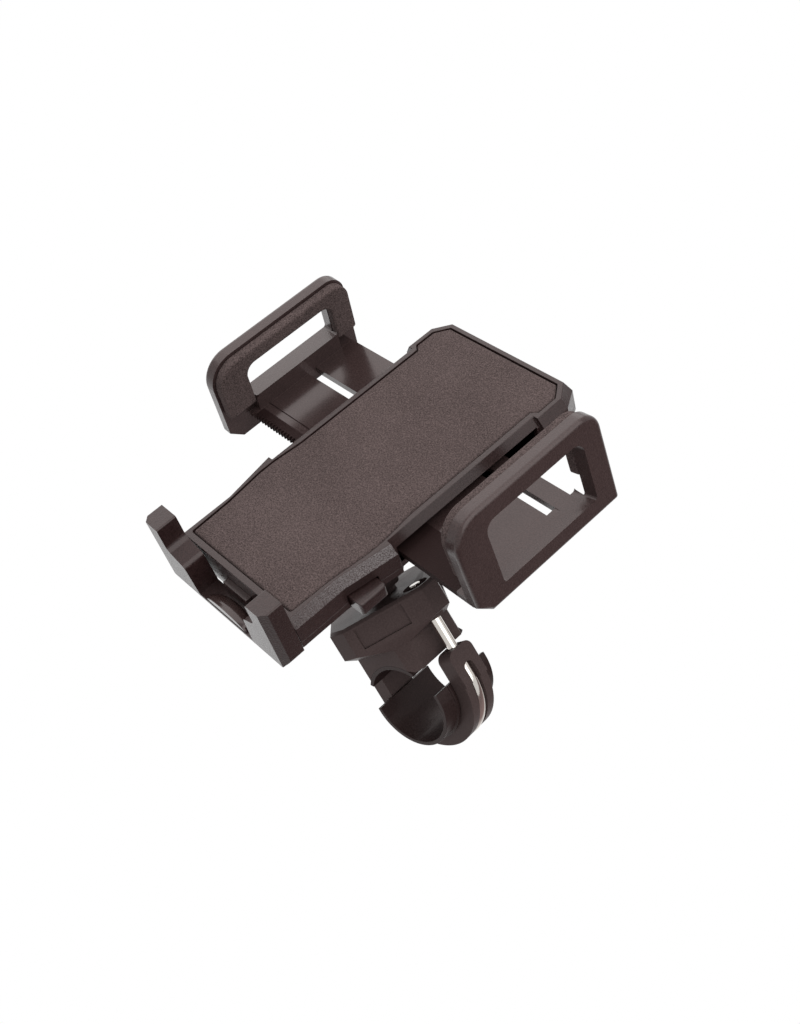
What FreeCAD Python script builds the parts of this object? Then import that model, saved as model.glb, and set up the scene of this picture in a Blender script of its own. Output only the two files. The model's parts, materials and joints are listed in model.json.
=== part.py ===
"""Scooter phone holder: a cradle with two geared jaws and a pull-out foot, on a
ball joint over a U-bolt clamp.

Millimetres.  The cradle is drawn in its own frame: X across to the right-hand
jaw, Y from the foot to the far end, Z out of the face, with the origin at the
middle of the pad's foot edge.  The clamp is drawn in a second frame with its bore
along Y and the ball straight above on Z.  Both are then placed about the middle
of the bore.
"""
import FreeCAD
import Part
import math
import os

SIZES = (
    ("body_length", 113.8),
    ("foot_margin", 2.5),
    ("foot_half_width", 27.0),
    ("tab_half_width", 30.2),
    ("slot_half_width", 28.4),
    ("flare_start", 16.5),
    ("slot_start", 35.0),
    ("end_tab_length", 16.5),
    ("end_chamfer_along", 5.7),
    ("end_chamfer_across", 4.5),
    ("bevel_out", 2.2),
    ("bevel_drop", 3.4),
    ("rim_width", 1.8),
    ("pad_thickness", 1.5),
    ("deck_thickness", 1.5),
    ("shell_wall", 2.0),
    ("floor_thickness", 2.0),
    ("arm_thickness", 2.5),
    ("level_gap", 0.5),
    ("slider_thickness", 1.8),
    ("button_travel", 2.5),
    ("button_height", 5.2),
    ("button_length", 10.1),
    ("button_stand_out", 5.0),
    ("tooth_module", 0.5),
    ("pinion_teeth", 12),
    ("pinion_pin_radius", 1.2),
    ("pinion_line", 43.5),
    ("jaw_start", 37.0),
    ("jaw_far_margin", 2.1),
    ("jaw_height", 35.4),
    ("jaw_reach", 64.1),
    ("jaw_lean", 6.3),
    ("jaw_thickness", 4.7),
    ("jaw_pad_thickness", 3.8),
    ("jaw_near_round", 10.0),
    ("jaw_far_round", 7.0),
    ("window_near_margin", 11.0),
    ("window_far_margin", 8.2),
    ("right_sill", 6.2),
    ("left_sill", 13.9),
    ("left_sill_rise", 2.0),
    ("window_top", 29.2),
    ("window_flare", 1.0),
    ("wide_arm_width", 23.7),
    ("arm_far_margin", 7.4),
    ("arm_spacing", 3.7),
    ("jaw_close_travel", 20.0),
    ("foot_reach", 10.6),
    ("foot_gap", 0.7),
    ("prong_inside", 22.7),
    ("prong_outside", 30.9),
    ("prong_top", 11.7),
    ("foot_depth", 13.2),
    ("tongue_half_width", 6.0),
    ("tongue_length", 33.0),
    ("dome_half_width", 10.5),
    ("dome_depth", 4.4),
    ("dome_height", 3.4),
    ("ball_radius", 8.8),
    ("ball_drop", 30.5),
    ("ball_line", 36.5),
    ("ball_clearance", 0.25),
    ("neck_radius", 3.2),
    ("ring_apothem", 15.0),
    ("ring_bore_radius", 12.3),
    ("ring_rise", 4.0),
    ("lip_angle", 64.0),
    ("stalk_length", 49.0),
    ("lean_heading", 170.5),
    ("lean_angle", 39.9),
    ("clamp_turn", -153.0),
    ("bore_radius", 14.0),
    ("liner_thickness", 1.4),
    ("saddle_floor", 1.6),
    ("saddle_half_width", 5.6),
    ("saddle_top", 10.5),
    ("rod_radius", 1.9),
    ("rod_play", 0.08),
    ("clamp_depth", 27.0),
    ("arch_half_angle", 48.0),
    ("bridge_half_length", 22.5),
    ("bridge_corner", 3.5),
    ("ring_room", 15.0),
    ("wing_thickness", 10.0),
    ("wing_bevel", 1.0),
    ("washer_thickness", 0.8),
    ("nut_height", 3.2),
    ("nut_flats", 7.0),
    ("screw_radius", 1.2),
)

doc = FreeCAD.newDocument("PhoneHolder")
sheet = doc.addObject("Spreadsheet::Sheet", "sizes")
for row, (alias, value) in enumerate(SIZES, start=1):
    sheet.set(f"A{row}", alias)
    sheet.set(f"B{row}", str(value))
    sheet.setAlias(f"B{row}", alias)
doc.recompute()


def size(alias):
    """The number the sheet holds under a name."""
    return float(sheet.get(alias))


X_AXIS = FreeCAD.Vector(1, 0, 0)
Y_AXIS = FreeCAD.Vector(0, 1, 0)
Z_AXIS = FreeCAD.Vector(0, 0, 1)
ON_XZ = FreeCAD.Rotation(X_AXIS, 90)


def bind(feature, name, amount):
    """Set one size of a feature: a sheet name is bound, a number is stored."""
    if isinstance(amount, str):
        feature.setExpression(name, "sizes." + amount)
    else:
        setattr(feature, name, amount)


def at(x, y, z, rotation=None):
    """A placement at a point."""
    return FreeCAD.Placement(FreeCAD.Vector(x, y, z), rotation or FreeCAD.Rotation())


def box(corner, sides):
    """A block from its low corner and three sides."""
    block = doc.addObject("Part::Box", "Block")
    for name, amount in zip(("Length", "Width", "Height"), sides):
        bind(block, name, amount)
    block.Placement = at(*corner)
    return block


def cylinder(base, radius, height, rotation=None):
    """A cylinder from the middle of its base, along Z unless turned."""
    bar = doc.addObject("Part::Cylinder", "Bar")
    bind(bar, "Radius", radius)
    bind(bar, "Height", height)
    bar.Placement = at(*base, rotation)
    return bar


def sphere(centre, radius):
    """A ball about a point."""
    ball = doc.addObject("Part::Sphere", "Ball")
    bind(ball, "Radius", radius)
    ball.Placement = at(*centre)
    return ball


def corner_cut(before, corner, after, radius):
    """Start, middle and end of the arc that rounds one corner of an outline."""
    back = (before - corner).normalize()
    ahead = (after - corner).normalize()
    half = back.getAngle(ahead) / 2
    inward = (back + ahead).normalize()
    run = radius / math.tan(half)
    middle = corner + inward * (radius / math.sin(half) - radius)
    return corner + back * run, middle, corner + ahead * run


def profile(corners, placement):
    """A closed sketch through corners (x, y) or (x, y, rounding radius)."""
    sketch = doc.addObject("Sketcher::SketchObject", "Profile")
    spots = [FreeCAD.Vector(c[0], c[1], 0) for c in corners]
    cuts = []
    for i, c in enumerate(corners):
        if len(c) > 2 and c[2] > 0:
            cuts.append(corner_cut(spots[i - 1], spots[i], spots[(i + 1) % len(spots)], c[2]))
        else:
            cuts.append((spots[i], None, spots[i]))
    for i, (start, middle, end) in enumerate(cuts):
        if middle is not None:
            sketch.addGeometry(Part.Arc(start, middle, end), False)
        following = cuts[(i + 1) % len(cuts)][0]
        if end.distanceToPoint(following) > 1e-4:
            sketch.addGeometry(Part.LineSegment(end, following), False)
    sketch.Placement = placement
    return sketch


def prism(corners, placement, height):
    """An outline drawn out along the normal of its plane."""
    solid = doc.addObject("Part::Extrusion", "Prism")
    solid.Base = profile(corners, placement)
    solid.DirMode = "Normal"
    bind(solid, "LengthFwd", height)
    solid.Solid = True
    return solid


def turned(corners, base, axis, angle=360.0, rotation=ON_XZ):
    """A section turned about an axis through a point; drawn in X and Z."""
    solid = doc.addObject("Part::Revolution", "Turned")
    solid.Source = profile(corners, at(*base, rotation))
    solid.Axis = axis
    solid.Base = FreeCAD.Vector(*base)
    solid.Angle = angle
    solid.Solid = True
    return solid


def lofted(*sections):
    """A solid with flat sides between outlines, each with its placement."""
    solid = doc.addObject("Part::Loft", "Lofted")
    solid.Sections = [profile(corners, placement) for corners, placement in sections]
    solid.Solid = True
    solid.Ruled = True
    return solid


def join(*shapes):
    """Several solids made one."""
    fused = doc.addObject("Part::MultiFuse", "Joined")
    fused.Shapes = list(shapes)
    fused.Refine = True
    return fused


def cut(base, *tools):
    """A solid with others taken away."""
    for tool in tools:
        rest = doc.addObject("Part::Cut", "Cut")
        rest.Base = base
        rest.Tool = tool
        base = rest
    return base


def shared(first, second):
    """What two solids have in common."""
    both = doc.addObject("Part::Common", "Shared")
    both.Base = first
    both.Tool = second
    return both


def group(*shapes):
    """Separate like pieces kept together as one sub-part."""
    pieces = doc.addObject("Part::Compound", "Group")
    pieces.Links = list(shapes)
    return pieces


def rounded(base, radius, chosen):
    """The solid with the edges that pass a test rounded."""
    doc.recompute()
    fillet = doc.addObject("Part::Fillet", "Rounded")
    fillet.Base = base
    edges = enumerate(base.Shape.Edges, start=1)
    fillet.Edges = [(i, radius, radius) for i, edge in edges if chosen(edge)]
    return fillet


def mirrored(half):
    """A full outline from its right half, listed from the foot upwards."""
    return list(half) + [(-c[0],) + tuple(c[1:]) for c in reversed(half)]


nodes = []


def keep(feature, label, frame):
    """Name a finished sub-part and put it in the shared frame."""
    feature.Label = label
    feature.Placement = frame.multiply(feature.Placement)
    nodes.append(feature)
    return feature


# Where the two frames sit: the bore's middle is the shared origin.
clamp_turning = FreeCAD.Rotation(Z_AXIS, size("lean_heading"))
clamp_turning = clamp_turning.multiply(FreeCAD.Rotation(Y_AXIS, size("lean_angle")))
clamp_turning = clamp_turning.multiply(FreeCAD.Rotation(Z_AXIS, size("clamp_turn")))
clamp_frame = FreeCAD.Placement(FreeCAD.Vector(), clamp_turning)
ball_middle = clamp_turning.multVec(FreeCAD.Vector(0, 0, size("stalk_length")))
BALL = FreeCAD.Vector(0, size("ball_line"), -size("ball_drop"))
cradle_frame = FreeCAD.Placement(ball_middle - BALL, FreeCAD.Rotation())

# Heights inside the cradle, from the face down.
gap = size("level_gap")
deck_base = -size("pad_thickness") - size("deck_thickness")
left_base = deck_base - gap - size("arm_thickness")
right_base = left_base - gap - size("arm_thickness")
slider_base = right_base - gap - size("slider_thickness")
floor_top = slider_base - gap
floor_base = floor_top - size("floor_thickness")
seam = right_base - gap / 2

# Outlines of the cradle: the face, and the wider one below the bevel.
length = size("body_length")
foot_edge = -size("foot_margin")
slot_start = size("slot_start")
slot_end = length - size("end_tab_length")
tab = size("tab_half_width")
waist = size("slot_half_width")
end_shoulder = length - size("end_chamfer_along")
end_half = tab - size("end_chamfer_across")


def cradle_outline(grow):
    """The outline of the cradle, grown sideways and at the far end."""
    foot_half = size("foot_half_width") + grow
    return mirrored([
        (foot_half, foot_edge),
        (foot_half, size("flare_start")),
        (tab + grow, slot_start),
        (waist + grow, slot_start + 0.01),
        (waist + grow, slot_end - 0.01),
        (tab + grow, slot_end),
        (tab + grow, end_shoulder),
        (end_half + grow, length + 0.6 * grow),
    ])


def pad_outline(shrink):
    """The outline of the foam pad, less a margin all round."""
    rim = size("rim_width") + shrink
    foot_half = size("foot_half_width") - rim
    return mirrored([
        (foot_half, foot_edge + 2.5 + shrink, 1.0),
        (foot_half + 0.5, size("flare_start") - 2),
        (tab - rim - 1.0, slot_start - 6),
        (tab - rim - 1.0, slot_start),
        (waist - rim - 0.3, slot_start + 11),
        (waist - rim - 0.3, slot_end + 0.5),
        (tab - rim, slot_end + 2.2),
        (tab - rim, end_shoulder - 1.0),
        (end_half - rim + 0.6, length - 1.9 - shrink, 1.0),
    ])


bevel_out = size("bevel_out")
bevel_base = -size("bevel_drop")
inside = cradle_outline(bevel_out - size("shell_wall"))
inner_half = [(c[0], c[1] + size("shell_wall") if i == 0 else c[1]) for i, c in enumerate(inside[:8])]
inner_half[7] = (inner_half[7][0] - 0.4, length - size("shell_wall") + 0.6 * bevel_out)
cavity_outline = mirrored(inner_half)

# Screw posts near the four corners.
post_spots = [(sx * 21.0, y) for sx in (1, -1) for y in (6.0, end_shoulder - 4.0)]
post_radius = size("screw_radius") + 1.4

# Front shell: bevelled tray with the deck, open at the sides for the arms.
tray = join(
    lofted((cradle_outline(0.0), at(0, 0, 0)), (cradle_outline(bevel_out), at(0, 0, bevel_base))),
    prism(cradle_outline(bevel_out), at(0, 0, seam), bevel_base - seam),
)
side_slot = box((-60, slot_start + 1.2, seam - 1), (120, slot_end - slot_start - 2.4, deck_base - seam + 1))
tongue_base = left_base - 2.6
tongue_slot = box((-size("tongue_half_width") - 0.3, foot_edge - 1, tongue_base - 0.3),
                  (2 * size("tongue_half_width") + 0.6, 6, 3.2))
button_middle = size("flare_start") + size("button_length") / 2
button_top = left_base - 1.0
button_base = button_top - size("button_height")
button_window = box((24.0, button_middle - size("button_length") / 2 - 0.4, button_base - 0.4),
                    (20, size("button_length") + 0.8, size("button_height") + 0.8))
tray = cut(
    tray,
    prism(pad_outline(-0.3), at(0, 0, -size("pad_thickness")), 5.0),
    prism(cavity_outline, at(0, 0, seam - 1), deck_base - seam + 1),
    side_slot,
)
posts = [cylinder((x, y, seam), post_radius, deck_base - seam) for x, y in post_spots]
tray = join(tray, *posts)
pilots = [cylinder((x, y, seam - 1), size("screw_radius") + 0.05, 6.0) for x, y in post_spots]
tray = cut(tray, tongue_slot, button_window, *pilots)
keep(tray, "front_shell", cradle_frame)

# Rear shell: floor, faceted hub and the round boss that seats the ball.
hub_base = BALL.z + size("ball_radius") + 3.0


def octagon(apothem, y):
    """Corners of a regular eight-sided outline about the ball's line."""
    reach = apothem / math.cos(math.pi / 8)
    turns = [math.pi / 8 + i * math.pi / 4 for i in range(8)]
    return [(reach * math.cos(turn), y + reach * math.sin(turn)) for turn in turns]


boss_radius = size("ring_bore_radius") - 0.3
seat_radius = size("ball_radius") + size("ball_clearance")
tub_bend = (seam + floor_base) / 2
tub = join(
    prism(cradle_outline(bevel_out), at(0, 0, tub_bend), seam - tub_bend),
    lofted((cradle_outline(bevel_out), at(0, 0, tub_bend)), (cradle_outline(-0.3), at(0, 0, floor_base))),
)
tub = cut(tub, prism(cavity_outline, at(0, 0, floor_top), 20))
posts = [cylinder((x, y, floor_top), post_radius, seam - floor_top) for x, y in post_spots]
spring_line = button_middle
spring_post = box((-20.0, spring_line - 3, floor_top), (1.8, 6, 3.4))
hub = lofted(
    (octagon(2 * boss_radius - 1.0, BALL.y), at(0, 0, floor_base)),
    (octagon(boss_radius + 0.3, BALL.y), at(0, 0, hub_base)),
)
boss = cylinder((0, BALL.y, BALL.z - 0.3), boss_radius, floor_base - BALL.z + 0.3)
tub = join(tub, hub, boss, spring_post, *posts)
shank_holes = [cylinder((x, y, floor_base - 1), size("screw_radius") + 0.1, 9.0) for x, y in post_spots]
head_holes = [cylinder((x, y, floor_base - 1), size("screw_radius") * 2, 2.2) for x, y in post_spots]
tub = cut(
    tub,
    sphere((0, BALL.y, BALL.z), seat_radius),
    cylinder((0, BALL.y, BALL.z - 10), seat_radius, 10.0),
    button_window,
    *shank_holes,
    *head_holes,
)
keep(tub, "rear_shell", cradle_frame)

face_pad = prism(pad_outline(0.0), at(0, 0, -size("pad_thickness")), "pad_thickness")
keep(face_pad, "face_pad", cradle_frame)

screws = []
for x, y in post_spots:
    screw = turned(
        [(0, 0), (size("screw_radius") * 1.8, 0), (size("screw_radius") * 1.8, 1.1),
         (size("screw_radius"), 1.1), (size("screw_radius"), 8.6), (0, 8.6)],
        (x, y, floor_base + 0.1), Z_AXIS)
    socket = prism([(1.0 * math.cos(a * math.pi / 3), 1.0 * math.sin(a * math.pi / 3)) for a in range(6)],
                   at(x, y, floor_base), 0.8)
    screws.append(cut(screw, socket))
keep(group(*screws), "shell_screws", cradle_frame)

# Gearing: one pinion between the two racks opens both jaws together.
module = size("tooth_module")
tooth_pitch = math.pi * module
pitch_radius = module * size("pinion_teeth") / 2
pinion_line = size("pinion_line")
left_rack_line = pinion_line + pitch_radius
right_rack_line = pinion_line - pitch_radius
tooth_tip = 0.8 * module
tooth_root = 1.3 * module


def pinion_outline():
    """A spur gear with slim straight-sided teeth."""
    count = int(size("pinion_teeth"))
    corners = []
    for i in range(count):
        middle = math.pi / 2 + i * 2 * math.pi / count
        for radius, lean in (
            (pitch_radius - tooth_root, -0.17),
            (pitch_radius + tooth_tip, -0.07),
            (pitch_radius + tooth_tip, 0.07),
            (pitch_radius - tooth_root, 0.17),
        ):
            corners.append((radius * math.cos(middle + lean), radius * math.sin(middle + lean)))
    return corners


def rack_edge(start, end, line, outward):
    """Corners of a toothed edge along X, with a gap between teeth at X = 0."""
    corners = []
    first = math.ceil(start / tooth_pitch)
    last = math.floor(end / tooth_pitch)
    for i in range(first, last):
        middle = (i + 0.5) * tooth_pitch
        for shift, depth in (
                (-0.30, -tooth_root), (-0.12, tooth_tip), (0.12, tooth_tip), (0.30, -tooth_root)):
            corners.append((middle + shift * tooth_pitch, line + outward * depth))
    return corners


pinion_top = deck_base - 0.3
pinion = prism(pinion_outline(), at(0, pinion_line, slider_base), pinion_top - slider_base)
pinion = cut(pinion, cylinder((0, pinion_line, slider_base - 1), size("pinion_pin_radius") + 0.08, 20.0))
keep(pinion, "pinion", cradle_frame)
pin = cylinder((0, pinion_line, floor_top), "pinion_pin_radius", deck_base - floor_top)
keep(pin, "pinion_pin", cradle_frame)

# Jaws: a leaning window frame on two arms, with foam round the window inside.
jaw_base = right_base - 3.0
jaw_near = size("jaw_start")
jaw_far = slot_end - size("jaw_far_margin")
jaw_depth = size("jaw_thickness") + size("jaw_pad_thickness")
lean = size("jaw_lean")
FACING = {
    1: FreeCAD.Rotation(Y_AXIS, Z_AXIS, X_AXIS, "ZXY"),
    -1: FreeCAD.Rotation(-Y_AXIS, Z_AXIS, -X_AXIS, "ZXY"),
}


def jaw_plane(side, inset):
    """The jaw's leaning plane, inset from its outer face, normal outwards."""
    leaning = FreeCAD.Rotation(Y_AXIS, -side * lean)
    outward = leaning.multVec(X_AXIS * side)
    foot_corner = FreeCAD.Vector(side * size("jaw_reach"), 0, jaw_base)
    return FreeCAD.Placement(foot_corner - outward * inset, leaning.multiply(FACING[side]))


def jaw_outline(side, margin, base):
    """The jaw's outline in its plane, less a margin, down to a base line."""
    near = side * (jaw_near + margin)
    far = side * (jaw_far - margin)
    top = size("jaw_height") - margin
    return [(far, base, 1.0), (far, top, size("jaw_far_round") - margin),
            (near, top, size("jaw_near_round") - margin), (near, base, 1.0)]


def window_outline(side, inset, sill):
    """The window in the jaw's plane: it narrows a little from the outer face inwards."""
    narrowing = size("window_flare") * inset / jaw_depth
    near = side * (jaw_near + size("window_near_margin") + narrowing)
    far = side * (jaw_far - size("window_far_margin") - narrowing)
    top = size("window_top")
    return [(near, sill, 1.0), (far, sill, 1.0), (far, top, 4.0), (near, top, 4.0)]


def sill_height(side, inset):
    """The sill is level with the arms on the right, higher and sloping on the left."""
    if side > 0:
        return size("right_sill")
    return size("left_sill") + size("left_sill_rise") * inset / jaw_depth


def window_cutter(side):
    """The window's opening, from outside the jaw to inside the foam."""
    insets = (-1.0, jaw_depth + 1.0)
    return lofted(*[(window_outline(side, i, sill_height(side, i)), jaw_plane(side, i)) for i in insets])


def jaw_frame(side, arm_level):
    """The frame without its arms: a rounded plate and the deep sill over the arms."""
    plate_corners = jaw_outline(side, 0.0, 0.0)
    chamfer = size("jaw_thickness")
    plate_corners[3:] = [(side * jaw_near, chamfer), (side * (jaw_near + chamfer), 0.0)]
    plate = prism(plate_corners, jaw_plane(side, size("jaw_thickness")), "jaw_thickness")
    outer = jaw_plane(side, 0.0)

    def on_outer_face(edge):
        return all(abs(outer.inverse().multVec(v.Point).z) < 1e-3 for v in edge.Vertexes)

    plate = rounded(plate, 1.6, on_outer_face)
    sill_base = arm_level - jaw_base
    near, far = [corner[0] for corner in window_outline(side, jaw_depth, 0.0)[:2]]
    sill_top = sill_height(side, jaw_depth) + 2.0
    sill = prism([(near, sill_base), (far, sill_base), (far, sill_top), (near, sill_top)],
                 jaw_plane(side, jaw_depth), size("jaw_pad_thickness") + 1.0)
    return cut(join(plate, sill), window_cutter(side))


def jaw_pad(side):
    """The foam arch on the inner face of a jaw, round the window."""
    pad_base = deck_base - jaw_base + 4.5
    pad = prism(jaw_outline(side, 0.9, pad_base), jaw_plane(side, jaw_depth), "jaw_pad_thickness")
    opening = [
        (window_outline(side, inset, pad_base - 5.0), jaw_plane(side, inset))
        for inset in (size("jaw_thickness") - 1.0, jaw_depth + 1.0)
    ]
    return cut(pad, lofted(*opening))


arm_end = size("jaw_reach") - size("jaw_thickness") + 1.0
arm_run = arm_end - 12.0
rack_tail = waist - size("jaw_close_travel")
left_wide_far = left_rack_line + size("wide_arm_width")
left_narrow_near = left_wide_far + size("arm_spacing")
narrow_width = slot_end - size("arm_far_margin") - left_narrow_near
left_arm = prism(
    rack_edge(-arm_end + 1.0, rack_tail, left_rack_line, -1)
    + [(rack_tail, left_rack_line + tooth_root), (rack_tail, left_wide_far),
       (-arm_end, left_wide_far), (-arm_end, left_rack_line + tooth_root)],
    at(0, 0, left_base), "arm_thickness")
guide_line = box((-jaw_depth - arm_run, left_rack_line + 6.0, left_base + size("arm_thickness") - 0.4),
                 (arm_run, 0.5, 1.0))
left_guide = box((-arm_end, left_narrow_near, left_base), (arm_run, narrow_width, "arm_thickness"))
left_rib = box((-arm_end, left_narrow_near + narrow_width, left_base), (arm_run, 1.0, "arm_thickness"))
left_jaw = join(jaw_frame(-1, left_base), cut(left_arm, guide_line), left_guide, left_rib)
keep(left_jaw, "left_jaw", cradle_frame)
keep(jaw_pad(-1), "left_jaw_pad", cradle_frame)

right_wide_near = pinion_line + pitch_radius + 3.5
right_wide_far = right_wide_near + size("wide_arm_width")
right_narrow_near = right_wide_far + size("arm_spacing")
rack_back = right_rack_line - tooth_root - 2.4
right_rack = prism(
    [(arm_end, rack_back), (arm_end, right_rack_line - tooth_root)]
    + list(reversed(rack_edge(-rack_tail, arm_end - 1.0, right_rack_line, 1)))
    + [(-rack_tail, right_rack_line - tooth_root), (-rack_tail, rack_back)],
    at(0, 0, right_base), "arm_thickness")
right_arm = box((-rack_tail, right_wide_near, right_base),
                (arm_end + rack_tail, "wide_arm_width", "arm_thickness"))
web_start = size("jaw_close_travel") + pitch_radius + tooth_tip + 1.1
right_web = box((web_start, rack_back, right_base),
                (arm_end - web_start, right_wide_near - rack_back + 1.0, "arm_thickness"))
right_guide = box((12.0, right_narrow_near, right_base), (arm_run, narrow_width / 2.5, "arm_thickness"))
right_jaw = join(jaw_frame(1, right_base), right_rack, right_arm, right_web, right_guide)
keep(right_jaw, "right_jaw", cradle_frame)
keep(jaw_pad(1), "right_jaw_pad", cradle_frame)

# Release button: a slider whose tooth stands in the pinion's path until pressed.
tip_radius = pitch_radius + tooth_tip
slider_left = -tip_radius - 4.0
slider_right = tip_radius + size("button_travel") + 3.6
button_near = button_middle - size("button_length") / 2
button_outer = size("foot_half_width") + bevel_out + 0.8 + size("button_stand_out")
head = box((button_outer - 7.0, button_near, button_base), (7.0, "button_length", "button_height"))


def on_button_front(edge):
    return all(v.Point.x > button_outer - 0.01 for v in edge.Vertexes)


head = rounded(head, 1.4, on_button_front)
plate = prism(
    [(slider_left, button_middle - 3.5), (button_outer - 6.0, button_middle - 3.5),
     (button_outer - 6.0, button_middle + 3.5), (slider_right, button_middle + 3.5),
     (slider_right, pinion_line + 6.5), (slider_left, pinion_line + 6.5)],
    at(0, 0, slider_base), "slider_thickness")
opening = prism(
    [(-tip_radius - 1.2, pinion_line - 4.2), (tip_radius + size("button_travel") + 0.8, pinion_line - 4.2),
     (tip_radius + size("button_travel") + 0.8, pinion_line + 4.2), (-tip_radius - 1.2, pinion_line + 4.2),
     (-tip_radius - 1.2, pinion_line + 0.8), (-tip_radius - 0.3, pinion_line + 0.25),
     (-tip_radius - 0.3, pinion_line - 0.25), (-tip_radius - 1.2, pinion_line - 0.8)],
    at(0, 0, slider_base - 1), 5.0)
keep(join(cut(plate, opening), head), "release_button", cradle_frame)

# Button spring: an open coil between the slider and the post on the floor.
spring_start = -18.2
spring_turns = 6
coil_radius = 1.5
wire_radius = 0.25
spring_length = slider_left - spring_start - 2 * wire_radius
helix = Part.makeHelix(spring_length / spring_turns, spring_length, coil_radius)
ring_face = Part.Wire(Part.Edge(Part.Circle(FreeCAD.Vector(coil_radius, 0, 0), Y_AXIS, wire_radius)))
coil = doc.addObject("Part::Feature", "Coil")
coil.Shape = Part.Wire(helix.Edges).makePipeShell([ring_face], True, True)
coil.Placement = at(spring_start + wire_radius, spring_line, slider_base + 1.4, FreeCAD.Rotation(Y_AXIS, 90))
keep(coil, "button_spring", cradle_frame)

# Foot: two prongs on a low lip, with a tongue that slides into the body.
foot_outer = -size("foot_reach")
foot_inner = foot_edge - size("foot_gap")
prong_in = size("prong_inside")
prong_out = size("prong_outside")
foot_base = -size("foot_depth")
floor_level = foot_base + 1.0
front_view = mirrored([
    (prong_out - 2.5, foot_base, 1.5),
    (prong_out, foot_base + 2.5, 1.5),
    (prong_out, size("prong_top"), 0.6),
    (prong_in, size("prong_top"), 0.6),
    (prong_in, 3.0, 3.0),
    (15.3, -0.5, 2.4),
    (14.0, floor_level),
])
foot_block = prism(front_view, at(0, foot_inner, 0, ON_XZ), foot_inner - foot_outer)
plan_view = mirrored([
    (prong_out - 2.2, foot_outer),
    (prong_out, foot_outer + 2.2),
    (prong_out, foot_inner),
])
foot_block = shared(foot_block, prism(plan_view, at(0, 0, foot_base - 1), 40.0))
tongue_half = size("tongue_half_width")
tongue = box((-tongue_half, foot_inner - 0.8, tongue_base), (2 * tongue_half, size("tongue_length"), 2.6))
back_wall = box((-tongue_half, foot_inner - 1.4, foot_base),
                (2 * tongue_half, 1.4, tongue_base + 2.6 - foot_base))
keep(join(foot_block, back_wall, tongue), "foot", cradle_frame)

dome = doc.addObject("Part::Ellipsoid", "Dome")
bind(dome, "Radius1", "dome_height")
bind(dome, "Radius2", "dome_half_width")
bind(dome, "Radius3", "dome_depth")
dome_middle = foot_outer + size("dome_depth") / 4
dome.Placement = at(0, dome_middle, floor_level)
dome_room = box((-20, foot_outer + 0.2, floor_level), (40, 2 * size("dome_depth"), 20))
keep(shared(dome, dome_room), "foot_dome", cradle_frame)

# Locking ring: eight-sided, notched at the corners, with the lip under the ball.
lip = math.radians(size("lip_angle"))
lip_radius = seat_radius * math.sin(lip)
lip_drop = seat_radius * math.cos(lip)
ring_rise = size("ring_rise")
bore = size("ring_bore_radius")
apothem = size("ring_apothem")
corner_reach = apothem / math.cos(math.pi / 8)
grip = []
for i in range(8):
    middle = math.pi / 8 + i * math.pi / 4
    for turn, reach in ((-0.11, apothem / math.cos(math.pi / 8 - 0.11)), (0.0, corner_reach - 1.8),
                        (0.11, apothem / math.cos(math.pi / 8 - 0.11))):
        grip.append((reach * math.cos(middle + turn), BALL.y + reach * math.sin(middle + turn)))
ring_section = [
    (lip_radius - 0.02, -lip_drop),
    (bore - 0.6, -lip_drop - (bore - 0.6 - lip_radius) / math.tan(math.radians(62.0))),
    (corner_reach, -lip_drop - 0.6),
    (corner_reach + 1, -lip_drop + 0.2),
    (corner_reach + 1, ring_rise - 1.0),
    (corner_reach - 1, ring_rise),
    (bore, ring_rise),
    (bore, -0.6),
    (lip_radius - 0.02, -0.6),
]
ring = shared(
    prism(grip, at(0, 0, BALL.z - 10), 20.0),
    turned(ring_section, (0, BALL.y, BALL.z), Z_AXIS))
ring = cut(ring, sphere((0, BALL.y, BALL.z), seat_radius))
keep(ring, "locking_ring", cradle_frame)

# Clamp, in its own frame: bore along Y, ball above on Z.
bore_radius = size("bore_radius")
liner_radius = bore_radius + size("liner_thickness")
rod_radius = size("rod_radius")
rod_line = liner_radius + size("saddle_floor") + rod_radius
wing_top = size("stalk_length") - size("ring_room")
wing_base = wing_top - size("wing_thickness")
wing_bevel = size("wing_bevel")
wing_half = rod_line + 3.2 * rod_radius
depth = size("clamp_depth")
bridge_half = size("bridge_half_length")
bridge_corner = size("bridge_corner")
arch = math.radians(size("arch_half_angle"))
arch_x = liner_radius * math.sin(arch)
arch_z = liner_radius * math.cos(arch)


def blunt_diamond(half_x, half_y, corner):
    """A diamond with its four points cut off."""
    return [(half_x, -corner), (half_x, corner), (corner, half_y), (-corner, half_y),
            (-half_x, corner), (-half_x, -corner), (-corner, -half_y), (corner, -half_y)]


def side_panel(sx, sy):
    """The shallow panel along one long side of the bridge."""
    start = FreeCAD.Vector(sx * bridge_corner, sy * bridge_half, 0)
    end = FreeCAD.Vector(sx * wing_half, sy * bridge_corner, 0)
    along = end - start
    outward = FreeCAD.Vector(sx * abs(along.y), sy * abs(along.x), 0).normalize()
    corners = [(start + along * 0.12) - outward * 0.9, (start + along * 0.72) - outward * 0.9,
               (start + along * 0.72) + outward * 3.0, (start + along * 0.12) + outward * 3.0]
    panel_base = wing_base + 1.2
    return prism(
        [(c.x, c.y) for c in corners], at(0, 0, panel_base), wing_top - wing_bevel - 0.8 - panel_base)


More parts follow.
